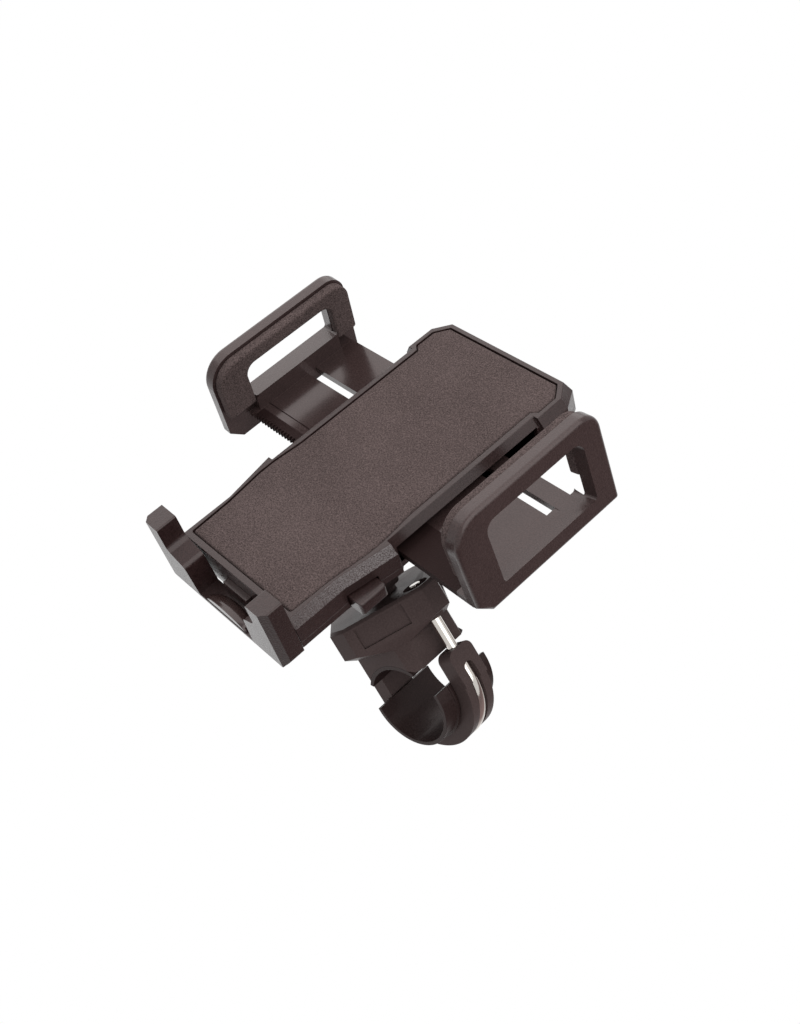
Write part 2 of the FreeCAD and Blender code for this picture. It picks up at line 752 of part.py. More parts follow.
top_plan = blunt_diamond(wing_half, bridge_half, bridge_corner)
bevelled_plan = blunt_diamond(wing_half - wing_bevel, bridge_half - wing_bevel, bridge_corner)
block_plan = blunt_diamond(arch_x + 2.6, depth / 2, arch_x - 1.5)
block_top = (liner_radius + wing_base) / 2
bridge = join(
    lofted((top_plan, at(0, 0, wing_base)), (top_plan, at(0, 0, wing_top - wing_bevel)),
           (bevelled_plan, at(0, 0, wing_top))),
    lofted((block_plan, at(0, 0, block_top)), (top_plan, at(0, 0, wing_base))),
    prism(block_plan, at(0, 0, arch_z), block_top - arch_z),
    *[cylinder((sx * rod_line, 0, wing_base - rod_radius), 2 * rod_radius, "rod_radius") for sx in (1, -1)],
)
leg_holes = [cylinder((sx * rod_line, 0, 0), rod_radius + 0.25, 2 * wing_top) for sx in (1, -1)]
panels = [side_panel(sx, sy) for sx in (1, -1) for sy in (1, -1)]
neck = size("neck_radius")
spigot_radius = 1.25 * neck
spigot_base = wing_base + 2.0
washer_radius = 2 * rod_radius
washer_base = wing_base + 0.45 * size("wing_thickness")
nut_pockets = [cylinder((sx * rod_line, 0, washer_base), washer_radius + 0.6, wing_top) for sx in (1, -1)]
bridge = cut(
    bridge,
    cylinder((0, 2 * depth, 0), liner_radius, 4 * depth, ON_XZ),
    cylinder((0, 0, spigot_base - 0.2), spigot_radius + 0.06, wing_top),
    *panels,
    *nut_pockets,
    *leg_holes,
)
keep(bridge, "clamp_bridge", clamp_frame)

liner_section = [(bore_radius, -depth / 2), (liner_radius, -depth / 2),
                 (liner_radius, depth / 2), (bore_radius, depth / 2)]
upper_liner = turned(liner_section, (0, 0, 0), Y_AXIS, 2 * size("arch_half_angle"), FreeCAD.Rotation())
upper_liner.Placement = at(0, 0, 0, FreeCAD.Rotation(Y_AXIS, -90 - size("arch_half_angle")))
keep(upper_liner, "bridge_liner", clamp_frame)

nut_base = washer_base + size("washer_thickness")
leg_top = nut_base + size("nut_height") + rod_radius
u_turn = doc.addObject("Part::Torus", "Bend")
u_turn.Radius1 = rod_line
bind(u_turn, "Radius2", "rod_radius")
u_turn.Angle3 = 180
u_turn.Placement = at(0, 0, 0, FreeCAD.Rotation(X_AXIS, -90))
legs = [cylinder((sx * rod_line, 0, 0), "rod_radius", leg_top) for sx in (1, -1)]
keep(join(u_turn, *legs), "u_bolt", clamp_frame)

# Lower saddle: a grooved strap round the bore, with an eye at each end for a leg.
groove = rod_radius + 0.3
strap_half = size("saddle_half_width")
strap_floor = liner_radius + 0.05
strap_rim = rod_line + 0.9 * rod_radius
groove_floor = rod_line - rod_radius - 0.1
saddle_top = size("saddle_top")
slot_top = saddle_top - 3 * rod_radius
eye_front = rod_line + 1.3 * rod_radius


def strap_section(low, high, half):
    """A block section for turning about the bore, between two radii."""
    return [(low, -half), (high, -half), (high, half), (low, half)]


eye_view = [(-strap_half, -rod_radius), (strap_half, -rod_radius),
            (strap_half, saddle_top, strap_half / 2), (-strap_half, saddle_top, strap_half / 2)]
slot_view = [(-groove, -rod_radius), (groove, -rod_radius),
             (groove, slot_top, groove), (-groove, slot_top, groove)]
eyes = []
slots = []
for sx in (1, -1):
    eyes.append(prism(eye_view, at(sx * strap_floor, 0, 0, FACING[sx]), eye_front - strap_floor))
    slots.append(prism(slot_view, at(sx * groove_floor, 0, 0, FACING[sx]), eye_front))
    slots.append(cylinder((sx * rod_line, 0, 0), rod_radius + 0.06, 2 * saddle_top))
saddle = join(
    turned(strap_section(strap_floor, strap_rim, strap_half), (0, 0, 0), Y_AXIS, 180.0, FreeCAD.Rotation()),
    *eyes)
rod_path = turned(
    strap_section(groove_floor, 2 * eye_front, groove), (0, 0, 0), Y_AXIS, 180.0, FreeCAD.Rotation())
keep(cut(saddle, rod_path, *slots), "lower_saddle", clamp_frame)

flange_half = depth / 2 - 0.5
ridge = size("liner_thickness") / 2
ridges = [(bore_radius, -flange_half), (liner_radius, -flange_half)]
for y in (-strap_half - 3 * ridge, strap_half + ridge):
    ridges += [(liner_radius, y), (liner_radius + ridge, y + 0.3 * ridge),
               (liner_radius + ridge, y + 1.7 * ridge), (liner_radius, y + 2 * ridge)]
ridges += [(liner_radius, flange_half), (bore_radius, flange_half)]
lower_liner = turned(ridges, (0, 0, 0), Y_AXIS, 190.0, FreeCAD.Rotation())
lower_liner.Placement = at(0, 0, 0, FreeCAD.Rotation(Y_AXIS, -5))
keep(lower_liner, "saddle_liner", clamp_frame)

washers = []
nuts = []
nut_reach = size("nut_flats") / math.sqrt(3)
nut_corners = [
    (nut_reach * math.cos(i * math.pi / 3), nut_reach * math.sin(i * math.pi / 3)) for i in range(6)]
rod_hole = rod_radius + size("rod_play")
for sx in (1, -1):
    x = sx * rod_line
    through = cylinder((x, 0, 0), rod_hole, 2 * leg_top)
    washers.append(cut(cylinder((x, 0, washer_base), washer_radius, "washer_thickness"), through))
    nuts.append(cut(prism(nut_corners, at(x, 0, nut_base), "nut_height"), through))
keep(group(*washers), "leg_washers", clamp_frame)
keep(group(*nuts), "leg_nuts", clamp_frame)

stalk = size("stalk_length")
collar = 2 * neck
neck_top = stalk - 2 * neck
stud = join(
    sphere((0, 0, stalk), "ball_radius"),
    turned(
        [(0, spigot_base), (spigot_radius, spigot_base), (spigot_radius, wing_top), (collar, wing_top),
         (collar, wing_top + 0.5 * neck), (neck, wing_top + 1.25 * neck), (neck, neck_top), (0, neck_top)],
        (0, 0, 0), Z_AXIS))
keep(stud, "ball_stud", clamp_frame)

doc.recompute()
for feature in doc.Objects:
    if {"Invalid", "Error"} & set(feature.State):
        raise RuntimeError(f"{feature.Name} ({feature.Label}): {feature.State}")
os.makedirs("parts", exist_ok=True)
for feature in nodes:
    if feature.Shape.isNull() or not feature.Shape.isValid():
        raise RuntimeError(f"{feature.Label}: bad shape")
    feature.Shape.exportStep(f"parts/{feature.Label}.step")
    box_now = feature.Shape.BoundBox
    print(feature.Label, len(feature.Shape.Solids), round(feature.Shape.Volume),
          [round(v, 1) for v in (box_now.XMin, box_now.XMax, box_now.YMin,
                                 box_now.YMax, box_now.ZMin, box_now.ZMax)])
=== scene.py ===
# %% [markdown]
# A scooter phone holder: a padded cradle with two geared jaws and a pull-out
# foot, on a ball joint over a U-bolt clamp.  The solids come from the packed
# model; this lesson dresses them.  Blender works in metres, so a size that is
# thought of in millimetres is multiplied by MM.

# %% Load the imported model
import json
import math

import bmesh
import bpy
import numpy as np
from mathutils import Matrix, Vector


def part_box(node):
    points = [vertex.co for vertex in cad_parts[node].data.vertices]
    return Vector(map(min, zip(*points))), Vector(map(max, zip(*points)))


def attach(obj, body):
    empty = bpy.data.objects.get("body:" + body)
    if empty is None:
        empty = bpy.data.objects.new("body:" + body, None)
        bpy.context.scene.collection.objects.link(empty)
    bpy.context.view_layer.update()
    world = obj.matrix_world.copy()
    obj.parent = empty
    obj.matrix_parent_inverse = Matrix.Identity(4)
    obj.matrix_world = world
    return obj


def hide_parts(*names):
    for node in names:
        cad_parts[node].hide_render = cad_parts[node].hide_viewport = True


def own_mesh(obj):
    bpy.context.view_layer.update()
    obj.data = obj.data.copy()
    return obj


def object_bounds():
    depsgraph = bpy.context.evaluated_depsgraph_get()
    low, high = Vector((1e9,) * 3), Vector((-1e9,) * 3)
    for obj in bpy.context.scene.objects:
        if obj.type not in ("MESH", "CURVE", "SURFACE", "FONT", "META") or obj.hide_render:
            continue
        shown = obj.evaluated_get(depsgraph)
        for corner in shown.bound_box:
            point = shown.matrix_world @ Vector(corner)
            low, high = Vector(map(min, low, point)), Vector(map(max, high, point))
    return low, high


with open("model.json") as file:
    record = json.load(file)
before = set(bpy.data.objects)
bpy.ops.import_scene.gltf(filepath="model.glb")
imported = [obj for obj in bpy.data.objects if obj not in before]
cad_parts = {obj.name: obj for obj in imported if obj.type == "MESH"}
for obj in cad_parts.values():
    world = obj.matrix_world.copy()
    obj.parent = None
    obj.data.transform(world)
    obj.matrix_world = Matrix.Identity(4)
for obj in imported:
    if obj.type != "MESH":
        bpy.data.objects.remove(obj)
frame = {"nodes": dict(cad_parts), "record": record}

MM = 0.001
cad_low, cad_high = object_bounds()
record = frame["record"]
slot_of = {part["node"]: part["material_slot"] for part in record["subparts"]}
body_of = {node: body for body, nodes in record["behaviour"]["bodies"].items() for node in nodes}
print("nodes:", len(frame["nodes"]), "box mm:", [round(v / MM, 1) for v in (cad_high - cad_low)])

# %% [markdown]
# The cradle has its own frame: X across, Y from the foot to the far end, Z out
# of the face.  Its zero is the middle of the pad's foot edge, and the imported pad
# tells where that is: the pad is symmetrical, its foot edge is its lowest Y and
# its face its highest Z.  The place could be typed in, but when it is measured it
# stays right if the part changes.  Places given from this zero are in millimetres.

# %% Where the cradle sits
pad_low, pad_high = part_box("face_pad")
cradle = np.array([(pad_low.x + pad_high.x) / 2, pad_low.y, pad_high.z])
print("cradle origin mm:", np.round(cradle / MM, 2))

# %% [markdown]
# The camera copies the photograph's viewpoint.  Its place is given from the
# cradle's zero.  It could be turned by three angles, but three axes as unit
# vectors are simpler to check.  The focal length is in pixels of a 1024-pixel-high
# frame and becomes millimetres on a 36 mm sensor.

# %% Camera
PHOTO_HEIGHT = 1024
FOCAL_PIXELS = 1263.8
SENSOR_WIDTH = 36.0
NEAREST_SEEN = 0.01
eye = cradle + np.array([253.8, -77.7, 270.8]) * MM
right = np.array([0.6526, 0.7224, -0.2283])
back = np.array([0.6128, -0.3262, 0.7198])
up = np.cross(back, right)
camera_data = bpy.data.cameras.new("camera")
camera_data.sensor_width = SENSOR_WIDTH
camera_data.lens = FOCAL_PIXELS * SENSOR_WIDTH / PHOTO_HEIGHT
camera_data.clip_start = NEAREST_SEEN
camera = bpy.data.objects.new("camera", camera_data)
bpy.context.scene.collection.objects.link(camera)
axes = np.column_stack([right, up, back])
camera.matrix_world = Matrix.Translation(Vector(eye)) @ Matrix(axes.tolist()).to_4x4()
bpy.context.scene.camera = camera
print("lens mm:", round(camera_data.lens, 2))

# %% [markdown]
# Finishes are built from nodes.  Writing each Math node by hand hides the idea,
# so one small class wraps a socket: arithmetic on it adds Math nodes, and `make`
# adds any other node from its type, its settings and its inputs.


# %% Shader values as Python expressions
class Shade:
    """One output socket in a node tree."""

    def __init__(self, tree, socket=None):
        self.tree = tree
        self.socket = socket

    def make(self, kind, settings=None, output=0, **inputs):
        """Add a node: settings first, then values or links for its sockets.

        A socket goes by its name, with _ for each space, or as _ and its number.
        """
        node = self.tree.nodes.new(kind)
        for name, value in (settings or {}).items():
            setattr(node, name, value)
        for name, value in inputs.items():
            key = int(name[1:]) if name[0] == "_" else name.replace("_", " ")
            if isinstance(value, Shade):
                self.tree.links.new(value.socket, node.inputs[key])
            else:
                node.inputs[key].default_value = value
        return Shade(self.tree, node.outputs[output])

    def math(self, operation, first, second):
        """Add a Math node."""
        return self.make("ShaderNodeMath", {"operation": operation}, _0=first, _1=second)

    def __add__(self, other):
        return self.math("ADD", self, other)

    def __radd__(self, other):
        return self.math("ADD", other, self)

    def __sub__(self, other):
        return self.math("SUBTRACT", self, other)

    def __rsub__(self, other):
        return self.math("SUBTRACT", other, self)

    def __mul__(self, other):
        return self.math("MULTIPLY", self, other)

    def __rmul__(self, other):
        return self.math("MULTIPLY", other, self)


def new_material(name):
    """A new material, a start for its nodes, its object coordinates and its shader."""
    material = bpy.data.materials.new(name)
    material.use_nodes = True
    tree = material.node_tree
    shader = tree.nodes["Principled BSDF"]
    start = Shade(tree)
    place = start.make("ShaderNodeTexCoord", output="Object")
    return material, start, place, shader


def feed(shade, shader, name):
    """Link a value to one input of the shader."""
    shade.tree.links.new(shade.socket, shader.inputs[name])


def noise(start, place, size, detail=2.0, roughness=0.5):
    """Noise between 0 and 1 whose blobs are about `size` metres across."""
    return start.make(
        "ShaderNodeTexNoise", Vector=place, Scale=1.0 / size, Detail=detail, Roughness=roughness)


def blend_colours(start, factor, first, second):
    """A colour between two, by a value from 0 to 1; a Mix node's colours are 6, 7 and output 2."""
    return start.make("ShaderNodeMix", {"data_type": "RGBA"}, output=2, _0=factor, _6=first, _7=second)


print("shader helpers ready")

# %% [markdown]
# A mould is not the same all over, and three boxes in the cradle's frame say
# where the plastic differs.  The jaws' arms slide, so they are polished.  Their
# strip with the teeth, nearest the foot, is matt, and its colour is darkened as
# painted shade, for the shadow under the jaws and beside the cradle.  On the bevel
# between the foot and the button, pale specks are painted highlights, stronger
# towards the button.  Such zones could be painted on an unwrapped map.  A box is
# simpler: it is two corners, and object coordinates tell whether a point lies
# between them.

# %% Where the plastic differs
EVERYWHERE = 200.0
ARM_REACH = 54.0
TOOTH_STRIP_END = 50.0
arms = (-ARM_REACH, TOOTH_STRIP_END, -EVERYWHERE), (ARM_REACH, EVERYWHERE, EVERYWHERE)
# In the tooth strip, the colour is darkened as painted shade.
shaded_tooth_strip = (-ARM_REACH, -EVERYWHERE, -EVERYWHERE), (ARM_REACH, TOOTH_STRIP_END, EVERYWHERE)
# On this bevel, pale specks are painted highlights.
painted_glint_bevel = (26.5, -2.0, -3.4), (33.0, 34.9, -0.1)


def within(start, place, low, high):
    """1 inside a box whose corners are given from the cradle's zero in mm, else 0."""
    inside = 1.0
    for axis in range(3):
        spot = start.make("ShaderNodeSeparateXYZ", output=axis, Vector=place) - cradle[axis]
        above = start.math("GREATER_THAN", spot, low[axis] * MM)
        inside = above * start.math("LESS_THAN", spot, high[axis] * MM) * inside
    return inside


print("glinting bevel mm:", painted_glint_bevel)

# %% [markdown]
# The moulded plastic is a warm black with a satin skin.  Four things make it: a
# spark-eroded grain of about half a millimetre in the bump, a slightly paler tone
# on the grain's peaks, slow patches of handling in the roughness, and a thin clear
# skin that brightens where it is seen at a low angle.  A picture of the grain
# would repeat and show seams.  Noise on object coordinates does neither.
#
# Where it is polished, the grain fades and the roughness drops.  Where it is matt,
# it is rougher and has no skin, and its colour is darkened as painted shade.  The
# painted highlights are pale specks that grow stronger from the foot towards the
# button.

# %% Moulded plastic
BLACK = (0.0145, 0.0070, 0.0067, 1)
# Colour of the painted highlight specks.
PAINTED_GLINT = (0.20, 0.186, 0.190, 1)
WARM_GLANCE = (1.0, 0.78, 0.77, 1)
SKIN_ROUGHNESS = 0.18

GRAIN_SIZE = 0.5 * MM
GRAIN_DEPTH = 0.09 * MM
GRAIN_CONTRAST = 3.0
GRAIN_CUT = 1.0
GRAIN_TONE = 0.55
GRAIN_ROUGHNESS = 0.08

PATCH_SIZE = 14 * MM
PATCH_TONE = 0.45
PATCH_ROUGHNESS = 0.16
SMOOTHEST_PATCH = -0.13

STREAK_SIZE = 3 * MM
STREAK_ROUGHNESS = 0.06
POLISHED_ROUGHNESS = 0.14

DULL_ROUGHNESS = 0.3
# How far the matt zone's colour is darkened towards black, as painted shade.
PAINTED_SHADE_DARKENING = 0.9

# Painted highlights: pale specks on the bevel beside the button.
PAINTED_GLINT_SIZE = 0.34 * MM
PAINTED_GLINT_CONTRAST = 3.6
PAINTED_GLINT_CUT = 1.25
FAINTEST_PAINTED_GLINT = 0.3


def specks(start, place, size, contrast, cut):
    """Small blobs of noise, pulled apart by a contrast and lowered by a cut."""
    return noise(start, place, size, detail=1.0) * contrast - cut


def moulded_plastic(name, dark, pale, roughness, grain,
                    skin=0.0, shine=0.2, polished=None, dull_and_shaded=None, painted_glints=None):
    """Plastic that is dark in its grain and pale on the grain's peaks.

    grain is the bump's strength, skin the clear coat's weight and shine the mirror
    level.  The last three are boxes, where there are any.
    """
    material, start, place, shader = new_material(name)
    fine = specks(start, place, GRAIN_SIZE, GRAIN_CONTRAST, GRAIN_CUT)
    patches = noise(start, place, PATCH_SIZE)
    colour = blend_colours(start, fine * GRAIN_TONE + patches * PATCH_TONE, dark, pale)
    gloss = roughness + SMOOTHEST_PATCH + patches * PATCH_ROUGHNESS + fine * GRAIN_ROUGHNESS
    height = fine
    shader.inputs["Coat Weight"].default_value = skin
    if polished:
        smooth = within(start, place, *polished)
        streaks = noise(start, place, STREAK_SIZE, detail=3.0)
        gloss = gloss + smooth * (streaks * STREAK_ROUGHNESS + (POLISHED_ROUGHNESS - roughness))
        height = height * (1.0 - smooth)
    # Matt zone: rougher and without skin, with its colour darkened as painted shade.
    if dull_and_shaded:
        bare_and_shaded = within(start, place, *dull_and_shaded)
        gloss = gloss + bare_and_shaded * DULL_ROUGHNESS
        colour = blend_colours(start, bare_and_shaded * PAINTED_SHADE_DARKENING, colour, BLACK)
        feed(skin - bare_and_shaded * skin, shader, "Coat Weight")
    # Painted highlights: pale specks mixed into the colour, stronger towards the button.
    if painted_glints:
        painted_glint_specks = specks(start, place, PAINTED_GLINT_SIZE, PAINTED_GLINT_CONTRAST, PAINTED_GLINT_CUT)
        first, last = (cradle[1] + corner[1] * MM for corner in painted_glints)
        along = start.make("ShaderNodeSeparateXYZ", output=1, Vector=place)
        painted_glint_growth = start.make(
            "ShaderNodeMapRange", Value=along,
            From_Min=first, From_Max=last, To_Min=FAINTEST_PAINTED_GLINT, To_Max=1.0)
        painted_glint_share = painted_glint_specks * painted_glint_growth * within(start, place, *painted_glints)
        colour = blend_colours(start, painted_glint_share, colour, PAINTED_GLINT)
    bump = start.make("ShaderNodeBump", Strength=grain, Distance=GRAIN_DEPTH, Height=height)
    feed(colour, shader, "Base Color")
    feed(gloss, shader, "Roughness")
    feed(bump, shader, "Normal")
    shader.inputs["Specular IOR Level"].default_value = shine
    shader.inputs["Specular Tint"].default_value = WARM_GLANCE
    shader.inputs["Coat Roughness"].default_value = SKIN_ROUGHNESS
    return material


print("grain mm:", round(GRAIN_SIZE / MM, 2), "glints mm:", round(PAINTED_GLINT_SIZE / MM, 2))

# %% [markdown]
# Each plastic could have nodes of its own, but one recipe keeps them alike, and it
# does for the rubber too.  The clamp is painted paler than the other black plastic,
# as painted light on its dimly lit faces, and has no skin; the dome is polished, and
# the gear is plain nylon.

# %% The plastics
WORN_BLACK = (0.039, 0.0215, 0.0210, 1)
finishes = {
    "black_plastic": moulded_plastic(
        "moulded_black", BLACK, WORN_BLACK, roughness=0.40, grain=0.6, skin=0.6),
    # The shell's bevel beside the button gets painted highlight specks.
    "shell_plastic_painted_glints": moulded_plastic(
        "moulded_shell_painted_glints", BLACK, WORN_BLACK, roughness=0.40, grain=0.6, skin=0.6,
        painted_glints=painted_glint_bevel),
    # The jaws' tooth strip is darkened as painted shade.
    "jaw_plastic_painted_shade": moulded_plastic(
        "moulded_jaw_painted_shade", dark=(0.033, 0.0210, 0.0205, 1), pale=(0.067, 0.0440, 0.0430, 1),
        roughness=0.40, grain=0.4, skin=0.6, polished=arms, dull_and_shaded=shaded_tooth_strip),
    # The clamp's colours are painted paler, as painted light on its dimly lit faces.
    "clamp_plastic_painted_paler": moulded_plastic(
        "moulded_clamp_painted_paler", dark=(0.072, 0.0535, 0.0523, 1), pale=(0.098, 0.0735, 0.0720, 1),
        roughness=0.42, grain=0.15, shine=0.12),
    "gloss_black": moulded_plastic(
        "polished_black", dark=(0.034, 0.020, 0.0190, 1), pale=(0.052, 0.033, 0.0310, 1),
        roughness=0.16, grain=0.02, skin=0.8),
    "liner_rubber": moulded_plastic(
        "liner_rubber", dark=(0.021, 0.0128, 0.0124, 1), pale=(0.036, 0.0230, 0.0223, 1),
        roughness=0.40, grain=0.2, skin=0.1),
    "gear_nylon": moulded_plastic(
        "gear_nylon", dark=(0.62, 0.60, 0.55, 1), pale=(0.70, 0.68, 0.63, 1),
        roughness=0.45, grain=0.1),
}
print("plastics:", len(finishes))

# %% [markdown]
# The face and the jaws carry closed-cell foam.  Its skin is a field of tiny open
# cells, each a dark pit with a paler lip, so a cell pattern drives both the
# colour and the bump.  Real pits would need millions of faces, and at this size
# bump looks the same.  Dust breaks up the cells, and rubbing makes large patches
# paler and a little smoother.  Foam has almost no gloss.

# %% Foam
CELL_SIZE = 0.55 * MM
CELL_DEPTH = 0.16 * MM
CELL_BUMP = 0.8
CELL_HEIGHT = 0.6
DUST_SIZE = 0.42 * MM
DUST_HEIGHT = 1.6
LOWEST_PIT = -0.5
HEIGHT_TONE = 0.85
RUB_SIZE = 22 * MM
RUB_TONE = 0.3
DARKEST_TONE = -0.13
FOAM_ROUGHNESS = 0.98
RUB_SMOOTHING = 0.1
FOAM_SHINE = 0.25


def cell_foam(name, pit, lip):
    """Grainy foam: cells of about half a millimetre, with dark pits and pale lips."""
    material, start, place, shader = new_material(name)
    cells = start.make("ShaderNodeTexVoronoi", Vector=place, Scale=1.0 / CELL_SIZE)
    dust = noise(start, place, DUST_SIZE, detail=1.0)
    rubbed = noise(start, place, RUB_SIZE, detail=3.0)
    height = cells * CELL_HEIGHT + dust * DUST_HEIGHT + LOWEST_PIT
    tone = height * HEIGHT_TONE + rubbed * RUB_TONE + DARKEST_TONE
    bump = start.make("ShaderNodeBump", Strength=CELL_BUMP, Distance=CELL_DEPTH, Height=height)
    feed(blend_colours(start, tone, pit, lip), shader, "Base Color")
    feed(FOAM_ROUGHNESS - rubbed * RUB_SMOOTHING, shader, "Roughness")
    feed(bump, shader, "Normal")
    shader.inputs["Specular IOR Level"].default_value = FOAM_SHINE
    return material


finishes["foam"] = cell_foam(
    "cell_foam", pit=(0.023, 0.0162, 0.0156, 1), lip=(0.162, 0.122, 0.119, 1))
print("foam cells mm:", round(CELL_SIZE / MM, 2))

# %% [markdown]
# The U-bolt, its nuts and washers are bright plated steel, and the screws are
# plainer.  Fine marks break up the roughness, so a highlight is not a perfect
# line, and a slow haze dims the plating in places.

# %% Metals
MARK_SIZE = 0.5 * MM
HAZE_SIZE = 6 * MM
HAZE_TONE = 0.8


def plated_steel(name, colour, smooth, scratch):
    """Steel with a light scatter of marks; smooth is its least roughness, scratch what marks add."""
    material, start, place, shader = new_material(name)
    marks = noise(start, place, MARK_SIZE, detail=4.0, roughness=0.7)
    haze = noise(start, place, HAZE_SIZE)
    hazy = tuple(HAZE_TONE * part for part in colour[:3]) + (1,)
    feed(blend_colours(start, haze, hazy, colour), shader, "Base Color")
    feed(marks * scratch + smooth, shader, "Roughness")
    shader.inputs["Metallic"].default_value = 1.0
    return material


finishes["polished_steel"] = plated_steel(
    "polished_steel", (0.82, 0.78, 0.73, 1), smooth=0.06, scratch=0.12)
finishes["screw_steel"] = plated_steel(
    "screw_steel", (0.48, 0.48, 0.48, 1), smooth=0.25, scratch=0.2)
print("finishes:", sorted(finishes))

# %% [markdown]
# A moulded or pressed part never has a knife edge: a small radius along each
# edge catches the light and makes it look real.  Shading could fake it, but not on
# the outline.  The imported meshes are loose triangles, so a copy is merged, its flat
# faces are joined, and a Bevel modifier rounds every edge that turns by more than a
# limit angle.
#
# Some pieces have bevels of their own, which would shade as hard facets.  For
# them the limit is wider and weighted normals shade the bevels round.

# %% Rounded copies of the solids
SHARP_ANGLE = 32.0
FLAT_ANGLE = 0.6
MERGE_DISTANCE = 2e-6


def rounded_copy(node, radius, segments=3, sharp=SHARP_ANGLE):
    """A copy of a node whose edges over `sharp` degrees are rounded by a small radius."""
    source = frame["nodes"][node]
    mesh = bpy.data.meshes.new(node + "_skin")
    shape = bmesh.new()
    shape.from_mesh(source.data)
    bmesh.ops.remove_doubles(shape, verts=shape.verts, dist=MERGE_DISTANCE)
    bmesh.ops.dissolve_limit(
        shape, angle_limit=math.radians(FLAT_ANGLE), verts=shape.verts, edges=shape.edges)
    shape.to_mesh(mesh)
    shape.free()
    mesh.shade_smooth()
    mesh.set_sharp_from_angle(angle=math.radians(sharp))
    piece = bpy.data.objects.new(node + "_skin", mesh)
    bpy.context.scene.collection.objects.link(piece)
    if radius > 0:
        bevel = piece.modifiers.new("edge", "BEVEL")
        bevel.width = radius
        bevel.segments = segments
        bevel.limit_method = "ANGLE"
        bevel.angle_limit = math.radians(sharp)
        bevel.harden_normals = True
        bevel.use_clamp_overlap = True
    if sharp > SHARP_ANGLE:
        weighted = piece.modifiers.new("soft_bevels", "WEIGHTED_NORMAL")
        weighted.keep_sharp = True
    return piece


def stand_for(piece, node, finish=None):
    """Let a piece replace a node, on the node's body and with its slot; a finish can be named."""
    mesh = piece.data
    mesh.materials.clear()
    mesh.materials.append(finishes[finish or slot_of[node]])
    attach(piece, body_of[node])
    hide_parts(node)
    return piece


print("edges over", SHARP_ANGLE, "degrees are rounded")

# %% [markdown]
# Each solid gets the edge radius that suits how it is made, and the gear and the
# spring none.  Most finishes follow from the record's slot.  A second table names
# the exceptions, and a third the pieces whose own bevels are shaded round.

# %% Dress the solids
EDGES = {
    "front_shell": 0.35 * MM,
    "rear_shell": 0.35 * MM,
    "left_jaw": 0.12 * MM,
    "right_jaw": 0.12 * MM,
    "foot": 0.9 * MM,
    "foot_dome": 0.3 * MM,
    "release_button": 0.2 * MM,
    "locking_ring": 0.4 * MM,
    "ball_stud": 0.3 * MM,
    "clamp_bridge": 0.4 * MM,
    "lower_saddle": 0.3 * MM,
    "saddle_liner": 0.15 * MM,
    "bridge_liner": 0.15 * MM,
    "u_bolt": 0.3 * MM,
    "leg_nuts": 0.2 * MM,
    "leg_washers": 0.12 * MM,
    "shell_screws": 0.1 * MM,
    "pinion": 0.0,
    "pinion_pin": 0.1 * MM,
    "button_spring": 0.0,
}
FINISH_OF = {
    "front_shell": "shell_plastic_painted_glints",
    "left_jaw": "jaw_plastic_painted_shade",
    "right_jaw": "jaw_plastic_painted_shade",
    "clamp_bridge": "clamp_plastic_painted_paler",
    "lower_saddle": "clamp_plastic_painted_paler",
    "locking_ring": "clamp_plastic_painted_paler",
    "ball_stud": "clamp_plastic_painted_paler",
}
SOFT_BEVEL = {"left_jaw": 58.0, "right_jaw": 58.0, "foot": 50.0, "lower_saddle": 50.0}
skins = {}
for node, radius in EDGES.items():
    sharp = SOFT_BEVEL.get(node, SHARP_ANGLE)
    skins[node] = stand_for(rounded_copy(node, radius, sharp=sharp), node, FINISH_OF.get(node))
print("rounded copies:", len(skins))

# %% [markdown]
# The button's spring is held at one end by the rear shell.  Pressing the button
# shortens it by the button's travel.  Its coils could be drawn anew for each pose,
# or it could be scaled towards the held end; here the share of its length that it
# keeps is worked out, and it gets a mesh of its own.

# %% The spring's kept length
press = next(joint for joint in record["behaviour"]["joints"] if joint["name"] == "button_press")
spring_low, spring_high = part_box("button_spring")
spring_length = spring_high.x - spring_low.x
spring_kept = 1.0 - press["range_m"][1] / spring_length
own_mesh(skins["button_spring"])
print("spring keeps", round(spring_kept, 3), "of its length")

# %% [markdown]
# A new surface is a grid of points in rows and columns, with a quad between each
# four neighbours.  A loop over the points would do, but numpy works out the whole
# grid at once, which is shorter and faster.

# %% Grid surfaces
SAME_POINT = 1e-7


def grid_faces(rows, columns):
    """Quads of a grid whose points are numbered row by row."""
    index = np.arange(rows * columns).reshape(rows, columns)
    near, far = index[:-1], index[1:]
    quads = np.stack([near[:, :-1], near[:, 1:], far[:, 1:], far[:, :-1]], axis=-1)
    return quads.reshape(-1, 4)


def mesh_from_arrays(name, points, faces):
    """A smooth-shaded mesh object from an array of points and an array of quads."""
    mesh = bpy.data.meshes.new(name)
    mesh.from_pydata(points.reshape(-1, 3).tolist(), [], faces.tolist())
    shape = bmesh.new()
    shape.from_mesh(mesh)
    bmesh.ops.remove_doubles(shape, verts=shape.verts, dist=SAME_POINT)
    bmesh.ops.recalc_face_normals(shape, faces=shape.faces)
    shape.to_mesh(mesh)
    shape.free()
    mesh.shade_smooth()
    piece = bpy.data.objects.new(name, mesh)
    bpy.context.scene.collection.objects.link(piece)
    return piece


print("a grid of 3 by 4 points has", len(grid_faces(3, 4)), "quads")

# %% [markdown]
# The face pad is a thin sheet of foam laid in the rim.  A sheet like that has
# soft, slightly sunken edges, which a Bevel would make too even.  It is one grid:
# v runs from the foot to the far end, u across, and the half width at each v
# follows the rim.  Height falls off along a quarter circle within a millimetre of
# the edge, and the grid is closer there.  A copy of the grid makes the flat
# underside, and a wall of quads joins the two round the border.

# %% Face foam
SOFT_EDGE = 0.9 * MM
EDGE_STEPS = 7
EDGE_SHARE = 0.05
EVEN_ROWS = 160
EVEN_COLUMNS = 41
SUNK_SHARE = 0.8


